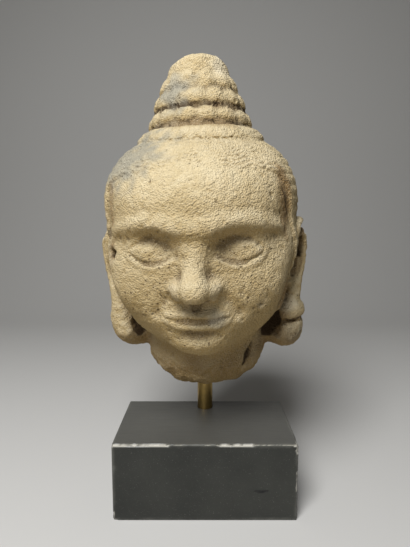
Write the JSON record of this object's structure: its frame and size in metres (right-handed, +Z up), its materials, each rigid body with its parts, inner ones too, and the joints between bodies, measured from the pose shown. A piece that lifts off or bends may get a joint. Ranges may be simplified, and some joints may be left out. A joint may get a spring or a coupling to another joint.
{
  "type": "stone head on plinth",
  "caption": "Carved sandstone head with closed eyes, long lobes and a tiered conical topknot, broken at the neck, on a brass rod in a black wooden plinth.",
  "frame": {"origin": "centre of the plinth's underside", "axes": "+Z up, the face looks towards -Y and the plinth's width runs along X"},
  "size_m": [0.1533, 0.158, 0.316],
  "materials": {
    "sandstone": "worn, granular buff sandstone",
    "brass": "satin, a little tarnished",
    "black_paint": "satin black paint, worn at the edges"
  },
  "bodies": {
    "root": {"sandstone_head": "sandstone", "brass_rod": "brass", "wooden_plinth": "black_paint"}
  },
  "joints": []
}
